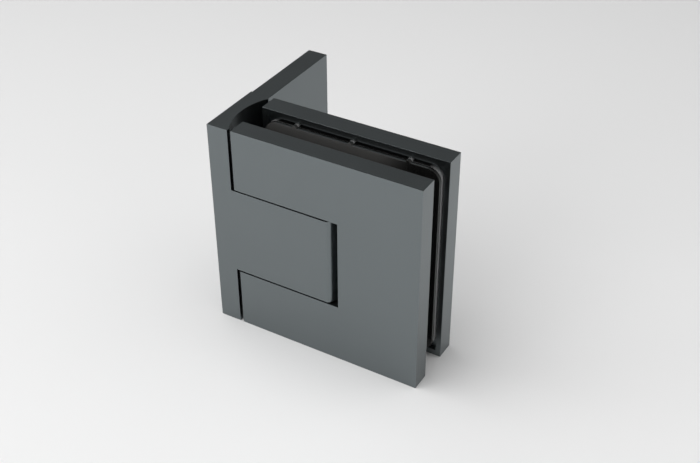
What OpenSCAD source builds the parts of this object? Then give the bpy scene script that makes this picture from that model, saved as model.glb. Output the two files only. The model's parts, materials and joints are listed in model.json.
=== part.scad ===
// Glass door hinge, wall to glass, with a back plate offset to one side.
// Millimetres. X runs from the wall along the closed door, Y across the glass,
// Z up. X = 0 is the wall, Y = 0 the middle of the glass, Z = 0 mid-height.

/* [Overall] */
// Height of the hinge
height = 90; // [84:1:100]
// Reach from the wall to the free edge of the glass plates
reach = 90; // [86:1:110]
// Thickness across the two glass plates
body_t = 29.1; // [29:0.1:31]
// Distance from the front face to the far edge of the wall flange
wall_depth = 70.5; // [66:0.5:90]
// Size of the small chamfer on the outer metal edges
edge_break = 0.25; // [0.1:0.05:0.4]

/* [Wall plate] */
// How far the wall plate stands off the wall
wall_t = 9.1; // [8.8:0.1:10]
// Set-back of the flange behind the block's wall face
flange_relief = 0.6; // [0.2:0.1:1]
// Gap between the wall plate and the glass plates
side_gap = 1.3; // [1.2:0.1:2]
// Radius of a wall screw hole
wall_hole_r = 2.75; // [2:0.05:3]
// Radius of a wall screw hole's countersunk mouth
wall_head_r = 5.4; // [4.5:0.1:6]
// Distance between the wall screw holes across the flange
wall_hole_y = 18; // [14:1:20]
// Distance between the wall screw holes up the flange
wall_hole_z = 38; // [30:1:50]

/* [Pivot] */
// Distance from the wall to the pivot axis
pivot_x = 31.5; // [31:0.5:33]
// Radius of the pivot pin
pin_r = 5; // [4.5:0.1:5]
// Distance from the pin's axis to each of its cam flats
flat_r = 4.3; // [4.1:0.05:4.4]
// Height of the knuckle
knuckle_h = 37.4; // [37:0.1:38]
// Gap between the knuckle and the notch, above and below
notch_gap = 0.45; // [0.3:0.05:0.6]
// Radius of the knuckle's nose about the pivot axis
nose_r = 25.3; // [25:0.1:25.4]
// Radius of the blend between the nose and the knuckle's flat faces
nose_blend = 1.8; // [1:0.1:3]
// Radius that the wall plate is hollowed to, to let the glass plates swing
swing_r = 26; // [25.9:0.05:26.2]

/* [Glass plates] */
// Thickness of each glass plate
plate_t = 8.2; // [8:0.1:8.5]
// Depth of the knuckle notch, measured from the wall
notch_x = 55.5; // [55.3:0.1:56]
// Width of the raised rim round the gasket pocket
rim_w = 2.5; // [2:0.1:3]
// Depth of the gasket pocket
pocket_d = 1.65; // [1.2:0.05:2]
// Depth of the glass cut-out that the hinge needs, measured from the wall
cutout_x = 69; // [69:0.5:72]
// Height of the glass cut-out that the hinge needs
cutout_h = 64; // [64:1:68]

/* [Gaskets] */
// Thickness of the glass that the gaskets are made for
glass_t = 8; // [8:1:10]
// Thickness of the black gasket that touches the glass
gasket_t = 1.5; // [1:0.1:2]
// Corner radius of a gasket
gasket_r = 5; // [3:0.5:6]
// Distance between the crush ribs on a gasket's edge
rib_pitch = 24; // [18:1:28]
// Radius of a crush rib
rib_r = 0.9; // [0.6:0.1:1]

/* [Detent] */
// Radius of the spring bores in the knuckle
bore_r = 4.6; // [4.2:0.1:4.8]
// Height of each spring bore above or below mid-height
bore_z = 6.5; // [6.3:0.1:6.7]
// Number of coils in each spring
coils = 6; // [4:1:8]
// Radius of the spring wire
wire_r = 0.55; // [0.4:0.05:0.6]

/* [Hidden] */
$fn = 96;

// Overall planes
face_y = body_t / 2;
inner_y = face_y - plate_t;
flange_y = wall_depth - face_y;
half_h = height / 2;
plate_x = wall_t + side_gap;
knuckle_z = knuckle_h / 2;
notch_z = knuckle_z + notch_gap;
over = 1;

// Glass plates: swing relief inside the notch, pockets and pin lugs
relief_r = nose_r + 0.4;
floor_y = inner_y + pocket_d;
free_rim_w = rim_w - 0.4;
island_gap = 0.4;
lug_x0 = pivot_x - 9;
lug_x1 = pivot_x + 11;
lug_y = inner_y + 1.65;
lug_z = cutout_h / 2 - 1;
lug_corner = 2;
lug_clear = 0.2;
fit = 0.02;

// Thrust washers and bushes
run_gap = 0.05;
pin_clear = 0.4;
thrust_gap = 0.1;
washer_t = 1.2;
washer_r = 9;
washer_play = 0.2;
spot_face_r = washer_r + 0.5;
thrust_z = knuckle_z + washer_t + thrust_gap;
bush_r = 7;
bush_l = 7.1;
bush_flange_r = 9;
bush_flange_t = 1.5;

// Pivot pin
pin_end = lug_z - 0.5;
pin_bevel = 0.6;
flat_margin = 0.3;
cam_z = bore_z + bore_r + flat_margin;

// Detent: a plug, a spring and a pad in each bore
plug_r = bore_r + 0.6;
plug_x0 = 0.3;
plug_x1 = 5;
plug_hex_r = 2.9;
plug_hex_d = 2.5;
slide_gap = 0.1;
pad_r = bore_r - slide_gap;
pad_x1 = pivot_x - pin_r - slide_gap;
pad_x0 = pad_x1 - 9;
pad_nose = 4;
pad_nose_r = 2.8;
spring_gap = 0.2;
spring_r = pad_nose_r + spring_gap + wire_r;
ring_steps = 16;
wire_sides = 8;

// Clamp screws and their sleeves: [X, Z] of each
screw_spots = [[50, 25.5], [50, -25.5], [63, 12], [63, -12]];
screw_r = 3;
screw_hole_r = 3.3;
head_r = 5.8;
hex_r = 2.3;
hex_d = 2;
screw_tip_y = 2.2 - face_y;
thread_runout = 0.5;
sleeve_r = 5;
sleeve_play = 0.1;
set_screw_z = (notch_z + lug_z) / 2;
set_screw_r = 2.5;
set_screw_l = 6;
set_hex_r = 1.4;

// Gaskets: a clear base one in the pocket, and a black one on it against the glass
gasket_y = glass_t / 2;
base_y = gasket_y + gasket_t;
gasket_x0 = plate_x + rim_w + 0.4;
gasket_x1 = reach - free_rim_w - 0.7;
gasket_z = half_h - rim_w - 1;
rib_mid_x = (gasket_x0 + gasket_x1) / 2;

// Finishes
gunmetal = [0.36, 0.385, 0.39];
black_rubber = [0.09, 0.09, 0.095];
clear_vinyl = [0.7, 0.72, 0.72];
steel = [0.62, 0.63, 0.65];
dark_steel = [0.27, 0.28, 0.29];
acetal = [0.85, 0.84, 0.8];

// A rectangle from one corner to another with small corner chamfers
module eased_rect(low, high, c = edge_break) {
    polygon([
        [low[0] + c, low[1]], [high[0] - c, low[1]], [high[0], low[1] + c],
        [high[0], high[1] - c], [high[0] - c, high[1]], [low[0] + c, high[1]],
        [low[0], high[1] - c], [low[0], low[1] + c]
    ]);
}

// A box with a small chamfer on all twelve edges
module eased_box(low, high, c = edge_break) {
    intersection() {
        translate([0, 0, low[2]]) linear_extrude(high[2] - low[2])
            eased_rect([low[0], low[1]], [high[0], high[1]], c);
        along_y(low[1], high[1]) eased_rect([low[0], low[2]], [high[0], high[2]], c);
        along_x(low[0], high[0]) eased_rect([low[1], low[2]], [high[1], high[2]], c);
    }
}

// Extrudes an outline drawn in Y and Z along X
module along_x(x0, x1) {
    translate([x0, 0, 0]) rotate([90, 0, 90]) linear_extrude(x1 - x0) children();
}

// Extrudes an outline drawn in X and Z along Y
module along_y(y0, y1) {
    translate([0, y1, 0]) rotate([90, 0, 0]) linear_extrude(y1 - y0) children();
}

// A box from one corner to the opposite one
module block(low, high) {
    translate(low) cube(high - low);
}

// A rod along X, Y or Z, from one end to the other
module rod_x(x0, x1, r) {
    translate([x0, 0, 0]) rotate([0, 90, 0]) cylinder(h = x1 - x0, r = r);
}
module rod_y(y0, y1, r0, r1) {
    translate([0, y0, 0]) rotate([-90, 0, 0]) cylinder(h = y1 - y0, r1 = r0, r2 = r1);
}
module rod_z(z0, z1, r) {
    translate([0, 0, z0]) cylinder(h = z1 - z0, r = r);
}

// Copies its children to the upper and the lower half
module both_halves() {
    children();
    mirror([0, 0, 1]) children();
}

// Outline of the knuckle seen from above: a straight neck and a nose round the pivot.
// The blends are a hair large, so that they cross the nose and don't just touch it.
module knuckle_outline() {
    blend_y = face_y - nose_blend;
    blend_x = sqrt(pow(nose_r - nose_blend, 2) - pow(blend_y, 2));
    far = 2 * nose_r / blend_x;
    translate([wall_t / 2, -face_y]) square([pivot_x + blend_x - wall_t / 2, body_t]);
    translate([pivot_x, 0]) {
        intersection() {
            circle(r = nose_r);
            polygon([[0, 0], [far * blend_x, -far * blend_y], [far * blend_x, far * blend_y]]);
        }
        for (side = [-1, 1]) translate([blend_x, side * blend_y]) circle(r = nose_blend + fit);
    }
}

// Outline of the wall plate seen from above: the block and the set-back flange
module wall_outline() {
    c = edge_break;
    polygon([
        [c, -face_y], [wall_t - c, -face_y], [wall_t, c - face_y],
        [wall_t, flange_y - c], [wall_t - c, flange_y], [flange_relief + c, flange_y],
        [flange_relief, flange_y - c], [flange_relief, face_y], [c, face_y],
        [0, face_y - c], [0, c - face_y]
    ]);
}

module wall_screw_hole() {
    mouth = wall_head_r - wall_hole_r;
    rod_x(-over, wall_t + over, wall_hole_r);
    translate([wall_t - mouth, 0, 0]) rotate([0, 90, 0])
        cylinder(h = mouth + fit, r1 = wall_hole_r, r2 = wall_head_r + fit);
}

// Block, flange and knuckle, forged as one piece
module wall_plate() {
    color(gunmetal) difference() {
        union() {
            difference() {
                intersection() {
                    translate([0, 0, -half_h]) linear_extrude(height) wall_outline();
                    along_x(0, wall_t) eased_rect([-face_y, -half_h], [flange_y, half_h]);
                    along_y(-face_y, flange_y) eased_rect([0, -half_h], [wall_t, half_h]);
                }
                both_halves() translate([pivot_x, 0, 0])
                    rod_z(knuckle_z, half_h + over, swing_r);
            }
            intersection() {
                translate([0, 0, -knuckle_z]) linear_extrude(knuckle_h) knuckle_outline();
                along_x(0, reach) eased_rect([-face_y, -knuckle_z], [face_y, knuckle_z]);
            }
        }
        translate([pivot_x, 0, 0]) {
            rod_z(-knuckle_z, knuckle_z, pin_r + pin_clear);
            both_halves() {
                rod_z(knuckle_z - bush_l, knuckle_z + over, bush_r);
                rod_z(knuckle_z - bush_flange_t, knuckle_z + over, bush_flange_r);
            }
        }
        both_halves() translate([0, 0, bore_z]) {
            rod_x(-over, pivot_x, bore_r);
            rod_x(-over, plug_x1, plug_r);
        }
        for (y = [-1, 1], z = [-1, 1])
            translate([0, (face_y + flange_y + y * wall_hole_y) / 2, z * wall_hole_z / 2])
                wall_screw_hole();
    }
}

// Flanged bush, pressed into the top of the knuckle
module bush() {
    color(acetal) translate([pivot_x, 0, 0]) difference() {
        union() {
            rod_z(knuckle_z - bush_l, knuckle_z, bush_r);
            rod_z(knuckle_z - bush_flange_t, knuckle_z, bush_flange_r);
        }
        rod_z(0, height, pin_r + run_gap);
    }
}

module upper_bush() bush();

module lower_bush() mirror([0, 0, 1]) bush();

// Thrust washer between a pin lug and the knuckle
module washer(z0) {
    color(acetal) translate([pivot_x, 0, 0]) difference() {
        rod_z(z0, z0 + washer_t, washer_r);
        rod_z(z0 - over, z0 + washer_t + over, pin_r + washer_play);
    }
}

module upper_washer() washer(knuckle_z);

module lower_washer() washer(-thrust_z);

// Pad that the spring presses on a flat of the pivot pin
module pad(z) {
    color(steel) translate([0, 0, z]) {
        rod_x(pad_x0, pad_x1 - pin_bevel, pad_r);
        translate([pad_x1 - pin_bevel, 0, 0]) rotate([0, 90, 0])
            cylinder(h = pin_bevel, r1 = pad_r, r2 = pad_r - pin_bevel);
        rod_x(pad_x0 - pad_nose, pad_x0, pad_nose_r);
    }
}

module upper_pad() pad(bore_z);

module lower_pad() pad(-bore_z);

// One point of the wire's skin: ring i along the coil, side j round the wire
function coil_point(i, j, rings, length) =
    let (turn = 360 * coils * i / rings, side = 360 * j / wire_sides)
    let (r = spring_r + wire_r * cos(side))
    [length * i / rings + wire_r * sin(side), r * cos(turn), r * sin(turn)];

// Compression spring along X, as one swept wire
module spring(z) {
    rings = coils * ring_steps;
    length = pad_x0 - plug_x1 - 2 * wire_r;
    points = [for (i = [0:rings], j = [0:wire_sides - 1]) coil_point(i, j, rings, length)];
    skin = [
        for (i = [0:rings - 1], j = [0:wire_sides - 1])
            let (a = i * wire_sides + j, b = i * wire_sides + (j + 1) % wire_sides)
            [a, a + wire_sides, b + wire_sides, b]
    ];
    start = [for (j = [0:wire_sides - 1]) j];
    end = [for (j = [wire_sides - 1:-1:0]) rings * wire_sides + j];
    color(steel) translate([plug_x1 + wire_r, 0, z])
        polyhedron(points = points, faces = concat([start], skin, [end]));
}

module upper_spring() spring(bore_z);

module lower_spring() spring(-bore_z);

// Threaded plug that closes a spring bore on the wall side
module plug(z) {
    color(steel) translate([0, 0, z]) difference() {
        rod_x(plug_x0, plug_x1, plug_r);
        translate([plug_x0 - over, 0, 0]) rotate([0, 90, 0])
            cylinder(h = plug_hex_d + over, r = plug_hex_r, $fn = 6);
    }
}

module upper_plug() plug(bore_z);

module lower_plug() plug(-bore_z);

// What both glass plates lose: the notch, the swing relief and the gasket pocket.
// Drawn for the plate at positive Y.
module plate_cuts() {
    block([0, inner_y - over, -notch_z], [notch_x, face_y + over, notch_z]);
    translate([pivot_x, 0, 0]) {
        rod_z(-notch_z, notch_z, relief_r);
        rod_z(-thrust_z, thrust_z, spot_face_r);
    }
    difference() {
        block([plate_x + rim_w, 0, rim_w - half_h], [reach - free_rim_w, floor_y, half_h - rim_w]);
        block(
            [0, -over, island_gap - cutout_h / 2],
            [cutout_x - island_gap, face_y, cutout_h / 2 - island_gap]);
    }
}

// Front glass plate: blind threads for the clamp screws and two lugs for the pin
module front_plate() {
    color(gunmetal) difference() {
        union() {
            difference() {
                eased_box([plate_x, -face_y, -half_h], [reach, -inner_y, half_h]);
                mirror([0, 1, 0]) plate_cuts();
            }
            both_halves() difference() {
                translate([0, 0, notch_z]) linear_extrude(lug_z - notch_z)
                    eased_rect([lug_x0, -inner_y - over], [lug_x1, lug_y], lug_corner);
                translate([pivot_x, 0, 0]) rod_z(0, thrust_z, spot_face_r);
            }
        }
        translate([pivot_x, 0, 0]) rod_z(-half_h, half_h, pin_r + fit);
        both_halves() translate([0, 0, set_screw_z]) rod_x(pivot_x, lug_x1 + over, set_screw_r);
        for (spot = screw_spots) translate([spot[0], 0, spot[1]])
            rod_y(screw_tip_y - thread_runout, 0, screw_r, screw_r);
    }
}

// Rear glass plate: countersunk for the clamp screws, and hollowed over the lugs
module rear_plate() {
    color(gunmetal) difference() {
        eased_box([plate_x, inner_y, -half_h], [reach, face_y, half_h]);
        plate_cuts();
        both_halves() block(
            [lug_x0 - lug_clear, 0, notch_z - over],
            [lug_x1 + lug_clear, lug_y + lug_clear, lug_z + lug_clear]);
        for (spot = screw_spots) translate([spot[0], 0, spot[1]]) {
            rod_y(0, face_y + over, screw_hole_r, screw_hole_r);
            rod_y(face_y - head_r + screw_r, face_y + fit, screw_r, head_r + fit);
        }
    }
}

// Outline of a gasket: round corners, crush ribs top and bottom, open round the knuckle
module gasket_outline() {
    difference() {
        union() {
            translate([gasket_x0 + gasket_r, -gasket_z])
                square([gasket_x1 - gasket_x0 - 2 * gasket_r, 2 * gasket_z]);
            translate([gasket_x0, gasket_r - gasket_z])
                square([gasket_x1 - gasket_x0, 2 * (gasket_z - gasket_r)]);
            for (x = [gasket_x0 + gasket_r, gasket_x1 - gasket_r], side = [-1, 1])
                translate([x, side * (gasket_z - gasket_r)]) circle(r = gasket_r);
            for (step = [-1:1], side = [-1, 1])
                translate([rib_mid_x + step * rib_pitch, side * gasket_z]) circle(r = rib_r);
        }
        translate([0, -cutout_h / 2]) square([cutout_x, cutout_h]);
    }
}

module front_gasket() {
    color(black_rubber) along_y(-base_y, -gasket_y) gasket_outline();
}

module rear_gasket() {
    color(black_rubber) along_y(gasket_y, base_y) gasket_outline();
}

module front_base_gasket() {
    color(clear_vinyl) along_y(-floor_y, -base_y) gasket_outline();
}

module rear_base_gasket() {
    color(clear_vinyl) along_y(base_y, floor_y) gasket_outline();
}

// Pivot pin: held in the lugs, with four cam flats where the pads press
module pivot_pin() {
    color(steel) translate([pivot_x, 0, 0]) difference() {
        union() {
            rod_z(pin_bevel - pin_end, pin_end - pin_bevel, pin_r);
            both_halves() translate([0, 0, pin_end - pin_bevel])
                cylinder(h = pin_bevel, r1 = pin_r, r2 = pin_r - pin_bevel);
        }
        for (turn = [0:90:270]) rotate(turn)
            block([flat_r, -pin_r, -cam_z], [pin_r + over, pin_r, cam_z]);
        both_halves() block(
            [flat_r, -pin_r, set_screw_z - set_screw_r - flat_margin],
            [pin_r + over, pin_r, set_screw_z + set_screw_r + flat_margin]);
    }
}

// Set screws that lock the pin in its lugs
module pin_set_screws() {
    color(steel) both_halves() translate([pivot_x + flat_r, 0, set_screw_z]) difference() {
        rod_x(0, set_screw_l, set_screw_r);
        translate([set_screw_l - hex_d, 0, 0]) rotate([0, 90, 0])
            cylinder(h = hex_d + over, r = set_hex_r, $fn = 6);
    }
}

// Countersunk clamp screws, from the rear plate into the front plate
module clamp_screws() {
    color(dark_steel) for (spot = screw_spots) translate([spot[0], 0, spot[1]]) difference() {
        union() {
            rod_y(screw_tip_y, face_y - head_r + screw_r, screw_r, screw_r);
            rod_y(face_y - head_r + screw_r, face_y, screw_r, head_r);
        }
        translate([0, face_y - hex_d, 0]) rotate([-90, 0, 0])
            cylinder(h = hex_d + over, r = hex_r, $fn = 6);
    }
}

// Sleeves that keep the glass off the clamp screws
module glass_sleeves() {
    color(acetal) for (spot = screw_spots) translate([spot[0], 0, spot[1]]) difference() {
        rod_y(-inner_y, inner_y - run_gap, sleeve_r, sleeve_r);
        rod_y(-inner_y - over, inner_y + over, screw_r + sleeve_play, screw_r + sleeve_play);
    }
}

wall_plate();
upper_bush();
lower_bush();
upper_washer();
upper_pad();
lower_pad();
upper_spring();
lower_spring();
upper_plug();
lower_plug();
front_plate();
rear_plate();
front_gasket();
rear_gasket();
pivot_pin();
pin_set_screws();
clamp_screws();
glass_sleeves();
lower_washer();
front_base_gasket();
rear_base_gasket();
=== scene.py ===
"""Looks of the glass door hinge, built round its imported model. Lengths are in metres."""
import json
import math

import bmesh
import bpy
from mathutils import Matrix, Vector


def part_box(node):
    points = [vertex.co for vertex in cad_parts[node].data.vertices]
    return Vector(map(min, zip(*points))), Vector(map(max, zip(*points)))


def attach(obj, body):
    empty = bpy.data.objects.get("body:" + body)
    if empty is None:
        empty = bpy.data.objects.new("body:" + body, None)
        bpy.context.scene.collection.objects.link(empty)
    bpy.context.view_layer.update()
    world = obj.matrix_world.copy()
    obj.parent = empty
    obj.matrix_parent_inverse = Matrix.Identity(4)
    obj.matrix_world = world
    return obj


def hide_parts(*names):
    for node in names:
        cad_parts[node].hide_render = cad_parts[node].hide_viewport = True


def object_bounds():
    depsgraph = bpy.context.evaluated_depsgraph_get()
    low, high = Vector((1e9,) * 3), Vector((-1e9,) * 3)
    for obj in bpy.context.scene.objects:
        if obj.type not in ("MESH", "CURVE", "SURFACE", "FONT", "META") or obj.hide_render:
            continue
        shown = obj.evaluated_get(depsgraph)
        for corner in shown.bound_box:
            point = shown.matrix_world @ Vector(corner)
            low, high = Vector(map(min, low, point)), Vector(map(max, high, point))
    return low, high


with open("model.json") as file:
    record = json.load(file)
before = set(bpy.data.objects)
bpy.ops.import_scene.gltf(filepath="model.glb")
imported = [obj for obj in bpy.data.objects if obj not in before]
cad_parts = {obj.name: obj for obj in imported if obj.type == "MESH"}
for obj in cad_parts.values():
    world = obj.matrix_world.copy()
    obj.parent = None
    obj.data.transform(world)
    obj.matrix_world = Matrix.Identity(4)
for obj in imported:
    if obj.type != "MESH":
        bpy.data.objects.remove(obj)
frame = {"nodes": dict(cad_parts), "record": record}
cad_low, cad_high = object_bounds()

MM = 0.001
NODES = frame["nodes"]
RECORD = frame["record"]

# Places closer than this are the same place
TINY = 0.001 * MM

# Planes of the wall plate: its flange's set-back, its thickness and the top of its knuckle
FLANGE_BACK = 0.6 * MM
WALL_THICKNESS = 9.1 * MM
KNUCKLE_TOP = 18.7 * MM

# Width of the metal plates' edge chamfers, as modelled and as shown
CHAMFER = 0.25 * MM
CRISP_CHAMFER = 0.02 * MM

# Faces of the glass plates' notch, and the clearance added at the plates' ends, notch levels and notch depth
NOTCH_TOP = 19.15 * MM
NOTCH_DEPTH = 55.5 * MM
SIDE_SHIFT = 0.2 * MM
TOP_SHIFT = 0.2 * MM
DEPTH_SHIFT = 0.4 * MM

# The knuckle's nose: its radius about the pivot and that of its blends, as modelled and as shown
PIVOT_X = RECORD["behaviour"]["joints"][0]["pos_m"][0]
NOSE_RADIUS = 25.3 * MM
NOSE_BLEND = 1.8 * MM
SHOWN_RADIUS = 24.9 * MM
SHOWN_BLEND = 3.0 * MM

# How far a point may lie from one of these arcs and still belong to it
NEAR_ARC = 0.03 * MM

# Rounding of the black and the clear gaskets' edges, its segments, and the angle from which an edge has it
GASKET_ROUND = 0.06 * MM
BASE_ROUND = 0.15 * MM
ROUND_SEGMENTS = 3
ROUND_FROM = math.radians(50)

# Painted shade: where along X the black gaskets' faces are painted darker towards the free end, and how far
# they darken
GASKET_PAINTED_SHADE_SPAN = (60 * MM, 77 * MM)
GASKET_PAINTED_SHADE_MOST = 0.92

# Detail of every noise
NOISE_DETAIL = 3.0

# Screws: a thread's depth in pitches, how steep its flanks are, rings a pitch, and sides of a turned piece
THREAD_DEPTH = 0.6
THREAD_STEEPNESS = 1.2
THREAD_RINGS = 10
TURNED_SIDES = 36

# Hexagonal sockets: the ease of the mouth, and the floor's depth and end radius against the corner radius
SOCKET_EASE = 0.15 * MM
SOCKET_FLOOR = 0.25
SOCKET_POINT = 0.05

# Clamp screws: X and Z of each in millimetres, pitch, tip's taper, and corner radius and depth of the socket
SCREW_SPOTS = ((50, 25.5), (50, -25.5), (63, 12), (63, -12))
CLAMP_PITCH = 1.0 * MM
CLAMP_LEAD = 0.5 * MM
CLAMP_SOCKET = (2.3 * MM, 2.2 * MM)
SHANK_RADIUS = 3.0 * MM
SHANK_LENGTH = 0.8 * CLAMP_PITCH
HEAD_RADIUS = 5.8 * MM
HEAD_RIM = 0.25 * MM

# Screws with no head: pitch, tip's taper and socket of each kind, and the chamfer at the socket's end
SET_PITCH = 0.8 * MM
SET_LEAD = 0.9 * MM
SET_SOCKET = (1.4 * MM, 2 * MM)
PLUG_PITCH = 1.0 * MM
PLUG_LEAD = 0.5 * MM
PLUG_SOCKET = (2.9 * MM, 2.5 * MM)
END_LENGTH = 0.4 * MM
END_DEPTH = 0.5 * MM

# Springs: wire radius, active coils, closed coils at the two ends, steps a coil and sides of the wire
WIRE_RADIUS = 0.55 * MM
ACTIVE_COILS = 5
CLOSED_COILS = 2
COIL_STEPS = 40
WIRE_SIDES = 12

# Angle between two faces from which a made piece shows an edge
SHARP_FROM = math.radians(35)

# Where the photograph was taken from
CAMERA_PLACE = (233.4 * MM, -307.2 * MM, 258.85 * MM)
CAMERA_AZIMUTH = 30.46
CAMERA_ELEVATION = 35.33
CAMERA_ROLL = -0.2
CAMERA_NEAREST = 0.01
SENSOR_WIDTH = 36.0
LENS = 59.38

# The floor: its size, its tone at the hinge, the change of tone for each metre as painted light that makes
# it paler towards the front and the right, and the tone's limits
FLOOR_SIZE = 6.0
FLOOR_TONE = 0.81
FLOOR_PAINTED_LIGHT_SLOPE = (0.16, -0.2, 0)
FLOOR_LOW = 0.7
FLOOR_HIGH = 0.88

# The backdrop: its tone at the horizon and above, and how high the upper tone starts
SKY_HORIZON = 0.8
SKY_HIGH = 0.17
SKY_HIGH_FROM = 0.08

# Softboxes: azimuth and elevation of each as seen from the hinge, and its radiance
SOFTBOX_DISTANCE = 1.5
SOFTBOX_WIDTH = 1.1
SOFTBOXES = {
    "overhead": (0, 89, 2.36),
    "high_left": (-60, 52, 2.65),
    "high_far_left": (-105, 52, 1.0),
    "high_behind": (120, 52, 1.0),
    "low_left": (-60, 22, 0.57),
    "low_front": (-15, 22, 2.65),
    "low_right": (75, 22, 0.56),
}


def direction(azimuth, elevation):
    """Unit vector from the hinge towards an azimuth and elevation. Azimuth 0 is the hinge's front."""
    turned, rise = math.radians(azimuth), math.radians(elevation)
    return Vector((math.sin(turned) * math.cos(rise), -math.cos(turned) * math.cos(rise), math.sin(rise)))


def add_object(name, data):
    """Adds an object to the scene."""
    made = bpy.data.objects.new(name, data)
    bpy.context.scene.collection.objects.link(made)
    return made


def make_camera():
    """The photograph's camera."""
    data = bpy.data.cameras.new("camera")
    data.sensor_width = SENSOR_WIDTH
    data.lens = LENS
    data.clip_start = CAMERA_NEAREST
    data.clip_end = 2 * FLOOR_SIZE
    camera = add_object("camera", data)
    turned = (-direction(CAMERA_AZIMUTH, CAMERA_ELEVATION)).to_track_quat("-Z", "Y").to_matrix().to_4x4()
    roll = Matrix.Rotation(math.radians(CAMERA_ROLL), 4, "Z")
    camera.matrix_world = Matrix.Translation(CAMERA_PLACE) @ turned @ roll
    bpy.context.scene.camera = camera


def add_node(tree, kind, inputs=None, **settings):
    """Adds a shader node, sets its properties, and gives each named input a value or a link."""
    node = tree.nodes.new(kind)
    for name, value in settings.items():
        setattr(node, name, value)
    for name, value in (inputs or {}).items():
        if isinstance(value, bpy.types.NodeSocket):
            tree.links.new(value, node.inputs[name])
        else:
            node.inputs[name].default_value = value
    return node


def place(tree, coordinate):
    """A texture coordinate, such as Object, Normal or Generated."""
    return add_node(tree, "ShaderNodeTexCoord").outputs[coordinate]


def along(tree, coordinate, axis):
    """One axis of a texture coordinate."""
    return add_node(tree, "ShaderNodeSeparateXYZ", {"Vector": place(tree, coordinate)}).outputs[axis]


def maths(tree, operation, *values):
    """The result of an operation on one or two values."""
    return add_node(tree, "ShaderNodeMath", dict(enumerate(values)), operation=operation).outputs[0]


def facing(tree, axis):
    """How far a surface faces along an axis of its piece, from 0 to 1."""
    return maths(tree, "ABSOLUTE", along(tree, "Normal", axis))


def fade(tree, value, span, low, high):
    """Eases from low to high while a value crosses a span."""
    inputs = {"Value": value, "From Min": span[0], "From Max": span[1], "To Min": low, "To Max": high}
    return add_node(tree, "ShaderNodeMapRange", inputs, interpolation_type="SMOOTHSTEP").outputs["Result"]


def noise(tree, grain):
    """Noise whose features are about grain metres across, fixed to the piece."""
    inputs = {"Vector": place(tree, "Object"), "Scale": 1 / grain, "Detail": NOISE_DETAIL}
    return add_node(tree, "ShaderNodeTexNoise", inputs).outputs["Fac"]


def new_material(name, **sockets):
    """A material with one Principled shader, whose sockets get plain values."""
    material = bpy.data.materials.new(name)
    material.use_nodes = True
    shader = material.node_tree.nodes["Principled BSDF"]
    for socket, value in sockets.items():
        shader.inputs[socket.replace("_", " ")].default_value = value
    return material, material.node_tree, shader


def tint(tree, shader, value, tones):
    """Colours the shader between two tones, by a value from 0 to 1."""
    mix = add_node(tree, "ShaderNodeMix", {"Factor": value}, data_type="RGBA")
    mix.inputs["A"].default_value = (*tones[0], 1)
    mix.inputs["B"].default_value = (*tones[1], 1)
    tree.links.new(mix.outputs["Result"], shader.inputs["Base Color"])


def roughen(tree, shader, value, low, high):
    """Varies the shader's roughness between two limits, by a value from 0 to 1."""
    spread = add_node(tree, "ShaderNodeMapRange", {"Value": value, "To Min": low, "To Max": high})
    tree.links.new(spread.outputs["Result"], shader.inputs["Roughness"])


def bump(tree, shader, value, height):
    """Raises the surface by a value from 0 to 1, at most to a height."""
    made = add_node(tree, "ShaderNodeBump", {"Height": value, "Distance": height, "Strength": 1.0})
    tree.links.new(made.outputs["Normal"], shader.inputs["Normal"])


def mottled(name, grain, tones, roughness, **sockets):
    """A material whose tone and roughness vary together."""
    material, tree, shader = new_material(name, **sockets)
    marks = noise(tree, grain)
    tint(tree, shader, marks, tones)
    roughen(tree, shader, marks, *roughness)
    return material, tree, shader


def gunmetal():
    """Satin coating: an even dark metal with a very fine blasted grain."""
    material, tree, shader = mottled(
        "gunmetal", grain=16 * MM, tones=((0.167, 0.187, 0.193), (0.175, 0.195, 0.201)),
        roughness=(0.27, 0.33), Metallic=1.0)
    bump(tree, shader, noise(tree, grain=0.12 * MM), height=0.002 * MM)
    return material


def rubber():
    """Black moulding with painted shade: its level edges are painted deep black, and its broad faces are
    painted darker towards the free end; its upright edges keep the paler tone.
    """
    material, tree, shader = new_material("gasket")
    # Painted shade: broad faces darken towards the free end, and faces that face up or down are painted deep
    # black
    free_end_painted_shade = fade(tree, along(tree, "Object", "X"), GASKET_PAINTED_SHADE_SPAN, 0, GASKET_PAINTED_SHADE_MOST)
    faces = maths(tree, "SUBTRACT", 1.0, facing(tree, "X"))
    depth = maths(tree, "MAXIMUM", maths(tree, "MULTIPLY", free_end_painted_shade, faces), facing(tree, "Z"))
    tint(tree, shader, depth, tones=((0.1, 0.099, 0.096), (0.002, 0.002, 0.002)))
    grain = noise(tree, grain=0.25 * MM)
    roughen(tree, shader, grain, low=0.06, high=0.12)
    bump(tree, shader, grain, height=0.001 * MM)
    return material


def vinyl():
    """Clear moulding: a painted highlight makes its faces that face along X pale; its other faces are dark.
    """
    material, tree, shader = new_material("clear_vinyl", Transmission_Weight=0.62, IOR=1.53)
    # Painted highlight: faces that face along X are pale, all other faces near black
    tint(tree, shader, facing(tree, "X"), tones=((0.01, 0.01, 0.01), (0.93, 0.94, 0.95)))
    roughen(tree, shader, noise(tree, grain=2 * MM), low=0.05, high=0.1)
    return material


def steel():
    """Plain machined steel."""
    tones = (0.5, 0.51, 0.53), (0.58, 0.59, 0.61)
    return mottled("steel", grain=0.4 * MM, tones=tones, roughness=(0.25, 0.38), Metallic=1.0)[0]


def screw_black():
    """Satin dark coating of the screws."""
    tones = (0.045, 0.047, 0.05), (0.065, 0.067, 0.07)
    return mottled("screw_black", grain=0.5 * MM, tones=tones, roughness=(0.3, 0.42), Metallic=0.9)[0]


def acetal():
    """Natural off-white plastic."""
    tones = (0.78, 0.77, 0.72), (0.83, 0.82, 0.78)
    return mottled("acetal", grain=3 * MM, tones=tones, roughness=(0.38, 0.5), Subsurface_Weight=0.1)[0]


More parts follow.
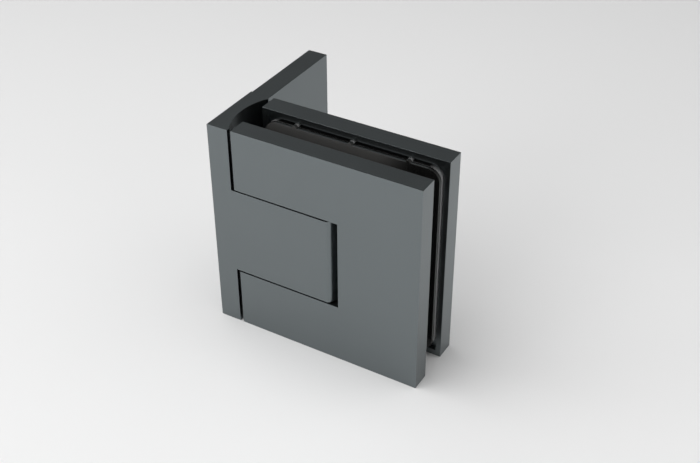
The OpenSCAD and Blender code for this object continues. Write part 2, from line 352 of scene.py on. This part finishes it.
def finish_nodes():
    """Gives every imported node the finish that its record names."""
    for part in RECORD["subparts"]:
        piece = NODES[part["node"]]
        piece.data.materials.clear()
        piece.data.materials.append(FINISHES[part["material_slot"]])


def stand_for(piece, node):
    """Lets a piece stand for a node, with the node's body and finish."""
    slot = next(part["material_slot"] for part in RECORD["subparts"] if part["node"] == node)
    piece.data.materials.clear()
    piece.data.materials.append(FINISHES[slot])
    body = next(body for body, nodes in RECORD["behaviour"]["bodies"].items() if node in nodes)
    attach(piece, body)
    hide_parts(node)


def round_edges(node, width):
    """Rounds the sharp edges of a moulded node a little, without changing its mesh."""
    piece = NODES[node]
    weld = piece.modifiers.new("weld", "WELD")
    weld.merge_threshold = TINY
    bevel = piece.modifiers.new("round", "BEVEL")
    bevel.width = width
    bevel.segments = ROUND_SEGMENTS
    bevel.limit_method = "ANGLE"
    bevel.angle_limit = ROUND_FROM
    bevel.use_clamp_overlap = False


def blend_arc(nose, radius, face):
    """Centre of the blend between a nose and a face, as seen from the pivot, and where its arc ends."""
    y = face - radius
    x = math.sqrt((nose - radius) ** 2 - y ** 2)
    return x, y, math.atan2(y, x)


def soften_nose(data, face):
    """Shortens the knuckle's nose a little and widens the blends between it and its two faces."""
    old_x, old_y, old_end = blend_arc(NOSE_RADIUS, NOSE_BLEND, face)
    new_x, new_y, new_end = blend_arc(SHOWN_RADIUS, SHOWN_BLEND, face)
    quarter = math.pi / 2
    for vertex in data.vertices:
        x, y = vertex.co.x - PIVOT_X, abs(vertex.co.y)
        if x < old_x - NEAR_ARC:
            continue
        out = math.hypot(x - old_x, y - old_y) - NOSE_BLEND
        turned = math.atan2(y - old_y, x - old_x)
        if abs(out) < NEAR_ARC and turned > old_end:
            angle = quarter - (quarter - turned) / (quarter - old_end) * (quarter - new_end)
            radius = SHOWN_BLEND + out
            y = face if y > face - TINY else new_y + radius * math.sin(angle)
            x = new_x + radius * math.cos(angle)
        elif abs(math.hypot(x, y) - NOSE_RADIUS) < NEAR_ARC:
            angle = math.atan2(y, x) * new_end / old_end
            x, y = SHOWN_RADIUS * math.cos(angle), SHOWN_RADIUS * math.sin(angle)
        vertex.co.x = x + PIVOT_X
        vertex.co.y = math.copysign(y, vertex.co.y)


def crisp_edges(node, planes, shifts=(), nose_face=None):
    """Shows a plate with narrower edge chamfers. Planes are those beside a chamfer, for X, Y and Z.

    A vertex that lies within a chamfer's width of such a plane moves towards it.
    Shifts are (axis, plane, distance), for flat faces that are shown further off.
    A nose face is the distance from Y = 0 to the knuckle's faces, on the plate that has the knuckle.
    """
    data = NODES[node].data.copy()
    if nose_face is not None:
        soften_nose(data, nose_face)
    for vertex in data.vertices:
        for axis, edges in enumerate(planes):
            for edge in edges:
                gap = vertex.co[axis] - edge
                if abs(gap) < CHAMFER + TINY:
                    vertex.co[axis] = edge + gap * CRISP_CHAMFER / CHAMFER
        for axis, face, distance in shifts:
            if abs(vertex.co[axis] - face) < CRISP_CHAMFER + TINY:
                vertex.co[axis] += distance
    stand_for(add_object(node + "_crisp", data), node)


def dress_glass_plate(node):
    """Crisp edges on a glass plate, and wider clearances between it and the wall plate."""
    low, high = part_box(node)
    crisp_edges(node, list(zip(low, high)), (
        (0, low[0], SIDE_SHIFT), (0, NOTCH_DEPTH, DEPTH_SHIFT),
        (2, NOTCH_TOP, TOP_SHIFT), (2, -NOTCH_TOP, -TOP_SHIFT),
    ))


def dress_wall_plate():
    """Crisp edges on the wall plate, and a softer nose on its knuckle."""
    low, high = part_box("wall_plate")
    crisp_edges("wall_plate", (
        (low[0], FLANGE_BACK, WALL_THICKNESS),
        (low[1], -low[1], high[1]),
        (low[2], -KNUCKLE_TOP, KNUCKLE_TOP, high[2]),
    ), nose_face=-low[1])


def plain(height, radius):
    """A round section of a turned piece: its place along the axis, and its radius at any angle."""
    return height, lambda angle: radius


def hexagon(height, radius):
    """A hexagonal section, from its corner radius."""
    sixth = math.radians(60)
    flat = radius * math.cos(sixth / 2)
    return height, lambda angle: flat / math.cos((angle + sixth / 2) % sixth - sixth / 2)


def threaded(low, high, radius, pitch, lead):
    """Sections of a right-hand V thread from low to high, tapered by lead at the low end."""
    def at(height):
        limit = radius - max(0, low + lead - height)

        def thread(angle):
            ridge = abs(2 * ((height / pitch - angle / math.tau) % 1) - 1)
            return min(limit, radius - THREAD_DEPTH * pitch * max(0, 1 - THREAD_STEEPNESS * ridge))
        return height, thread
    count = round((high - low) / pitch * THREAD_RINGS)
    return [at(low + (high - low) * i / count) for i in range(count + 1)]


def socket(height, corner, depth):
    """A hexagonal socket: its eased mouth, its walls and its pointed floor."""
    return [
        plain(height, corner + SOCKET_EASE),
        hexagon(height - SOCKET_EASE, corner),
        hexagon(height - depth, corner),
        plain(height - depth - corner * SOCKET_FLOOR, corner * SOCKET_POINT),
    ]


def headless(length, radius, pitch, lead, socket_size):
    """Sections of a screw with no head, from its tapered tip to its socket."""
    return [
        *threaded(0, length - END_LENGTH, radius, pitch, lead),
        plain(length, radius - END_DEPTH), *socket(length, *socket_size),
    ]


def skin(mesh, rings):
    """Skins rings of points, each with as many points, and closes both ends."""
    rows = [[mesh.verts.new(point) for point in ring] for ring in rings]
    for low, high in zip(rows, rows[1:]):
        for j in range(len(low)):
            k = (j + 1) % len(low)
            mesh.faces.new((low[j], low[k], high[k], high[j]))
    mesh.faces.new(reversed(rows[0]))
    mesh.faces.new(rows[-1])


def turn(mesh, start, axis, sections):
    """Adds a turned solid whose axis starts at a point and runs in a direction."""
    rotation = Vector((0, 0, 1)).rotation_difference(Vector(axis))
    angles = [math.tau * j / TURNED_SIDES for j in range(TURNED_SIDES)]
    rings = []
    for height, radius in sections:
        ring = [Vector((radius(a) * math.cos(a), radius(a) * math.sin(a), height)) for a in angles]
        rings.append([Vector(start) + rotation @ point for point in ring])
    skin(mesh, rings)


def add_piece(name, mesh, node):
    """Turns a bmesh into a piece that stands for a node."""
    data = bpy.data.meshes.new(name)
    bmesh.ops.recalc_face_normals(mesh, faces=mesh.faces)
    mesh.to_mesh(data)
    mesh.free()
    data.shade_smooth()
    data.set_sharp_from_angle(angle=SHARP_FROM)
    stand_for(add_object(name, data), node)


def make_clamp_screws():
    """Countersunk socket screws, from their tips in the front plate to their heads in the rear plate."""
    low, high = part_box("clamp_screws")
    length = high[1] - low[1]
    cone = length - (HEAD_RADIUS - SHANK_RADIUS)
    mesh = bmesh.new()
    for x, z in SCREW_SPOTS:
        turn(mesh, (x * MM, low[1], z * MM), (0, 1, 0), [
            *threaded(0, cone - CLAMP_PITCH, SHANK_RADIUS, CLAMP_PITCH, CLAMP_LEAD),
            plain(cone - SHANK_LENGTH, SHANK_RADIUS), plain(cone, SHANK_RADIUS),
            plain(length - HEAD_RIM, HEAD_RADIUS - HEAD_RIM), plain(length, HEAD_RADIUS - HEAD_RIM),
            *socket(length, *CLAMP_SOCKET),
        ])
    add_piece("clamp_screws_threaded", mesh, "clamp_screws")


def make_set_screws():
    """Socket set screws with tapered tips, one in each lug."""
    low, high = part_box("pin_set_screws")
    radius = (high[1] - low[1]) / 2
    height = high[2] - radius
    sections = headless(high[0] - low[0], radius, SET_PITCH, SET_LEAD, SET_SOCKET)
    mesh = bmesh.new()
    for side in (-1, 1):
        turn(mesh, (low[0], 0, side * height), (1, 0, 0), sections)
    add_piece("pin_set_screws_threaded", mesh, "pin_set_screws")


def make_plug(node):
    """A threaded plug whose socket faces the wall."""
    low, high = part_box(node)
    radius = (high[1] - low[1]) / 2
    sections = headless(high[0] - low[0], radius, PLUG_PITCH, PLUG_LEAD, PLUG_SOCKET)
    mesh = bmesh.new()
    turn(mesh, (high[0], 0, (low[2] + high[2]) / 2), (-1, 0, 0), sections)
    add_piece(node + "_threaded", mesh, node)


def make_spring(node):
    """A compression spring along X, with closed ends ground flat."""
    low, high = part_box(node)
    radius = (high[1] - low[1]) / 2 - WIRE_RADIUS
    middle = (low[2] + high[2]) / 2
    closed = 2 * WIRE_RADIUS
    pitch = (high[0] - low[0] - CLOSED_COILS * closed) / ACTIVE_COILS
    turns = ACTIVE_COILS + CLOSED_COILS

    def advance(t):
        active = min(max(t - 1, 0), ACTIVE_COILS)
        return low[0] + min(t, 1) * closed + active * pitch + max(t - turns + 1, 0) * closed
    rings = []
    for i in range(turns * COIL_STEPS + 1):
        t = i / COIL_STEPS
        angle = math.tau * t
        ring = []
        for j in range(WIRE_SIDES):
            side = math.tau * j / WIRE_SIDES
            out = radius + WIRE_RADIUS * math.cos(side)
            x = min(max(advance(t) + WIRE_RADIUS * math.sin(side), low[0]), high[0])
            ring.append((x, out * math.cos(angle), middle + out * math.sin(angle)))
        rings.append(ring)
    mesh = bmesh.new()
    skin(mesh, rings)
    add_piece(node + "_ground", mesh, node)


def make_floor():
    """A matt floor that the hinge stands on, whose tone changes a little across it as painted light, paler
    towards the front and the right.
    """
    half = FLOOR_SIZE / 2
    corners = [(x * half, y * half, cad_low.z) for x, y in ((-1, -1), (1, -1), (1, 1), (-1, 1))]
    mesh = bpy.data.meshes.new("floor")
    mesh.from_pydata(corners, [], [(0, 1, 2, 3)])
    floor = add_object("floor", mesh)
    material, tree, shader = new_material("floor", Roughness=0.9, Specular_IOR_Level=0.1)
    # Painted light: the tone rises towards the front and the right of the floor
    inputs = {0: place(tree, "Object"), 1: FLOOR_PAINTED_LIGHT_SLOPE}
    painted_light = add_node(tree, "ShaderNodeVectorMath", inputs, operation="DOT_PRODUCT").outputs["Value"]
    tone = maths(tree, "ADD", painted_light, FLOOR_TONE)
    limited = add_node(tree, "ShaderNodeClamp", {"Value": tone, "Min": FLOOR_LOW, "Max": FLOOR_HIGH})
    tree.links.new(limited.outputs["Result"], shader.inputs["Base Color"])
    mesh.materials.append(material)


def make_sky():
    """A backdrop that is pale at the horizon and darker above."""
    world = bpy.data.worlds.new("studio")
    world.use_nodes = True
    tree = world.node_tree
    tone = fade(tree, along(tree, "Generated", "Z"), (0, SKY_HIGH_FROM), SKY_HORIZON, SKY_HIGH)
    tree.links.new(tone, tree.nodes["Background"].inputs["Color"])
    bpy.context.scene.world = world


def make_softbox(name, azimuth, elevation, radiance):
    """A round light that faces the hinge. Its power is its radiance times pi times its area."""
    data = bpy.data.lights.new(name, "AREA")
    data.shape = "DISK"
    data.size = SOFTBOX_WIDTH
    data.energy = radiance * (math.pi * SOFTBOX_WIDTH / 2) ** 2
    light = add_object(name, data)
    towards = direction(azimuth, elevation)
    light.location = (cad_low + cad_high) / 2 + towards * SOFTBOX_DISTANCE
    light.rotation_mode = "QUATERNION"
    light.rotation_quaternion = (-towards).to_track_quat("-Z", "Y")


FINISHES = {
    "gunmetal": gunmetal(),
    "gasket": rubber(),
    "clear_vinyl": vinyl(),
    "steel": steel(),
    "screw_black": screw_black(),
    "acetal": acetal(),
}

make_camera()
make_floor()
make_sky()
for box_name, box_values in SOFTBOXES.items():
    make_softbox(box_name, *box_values)
finish_nodes()
for plate in ("front", "rear"):
    round_edges(plate + "_gasket", GASKET_ROUND)
    round_edges(plate + "_base_gasket", BASE_ROUND)
    dress_glass_plate(plate + "_plate")
dress_wall_plate()
make_clamp_screws()
make_set_screws()
for level in ("upper", "lower"):
    make_plug(level + "_plug")
    make_spring(level + "_spring")
bpy.context.scene.view_settings.view_transform = "Standard"
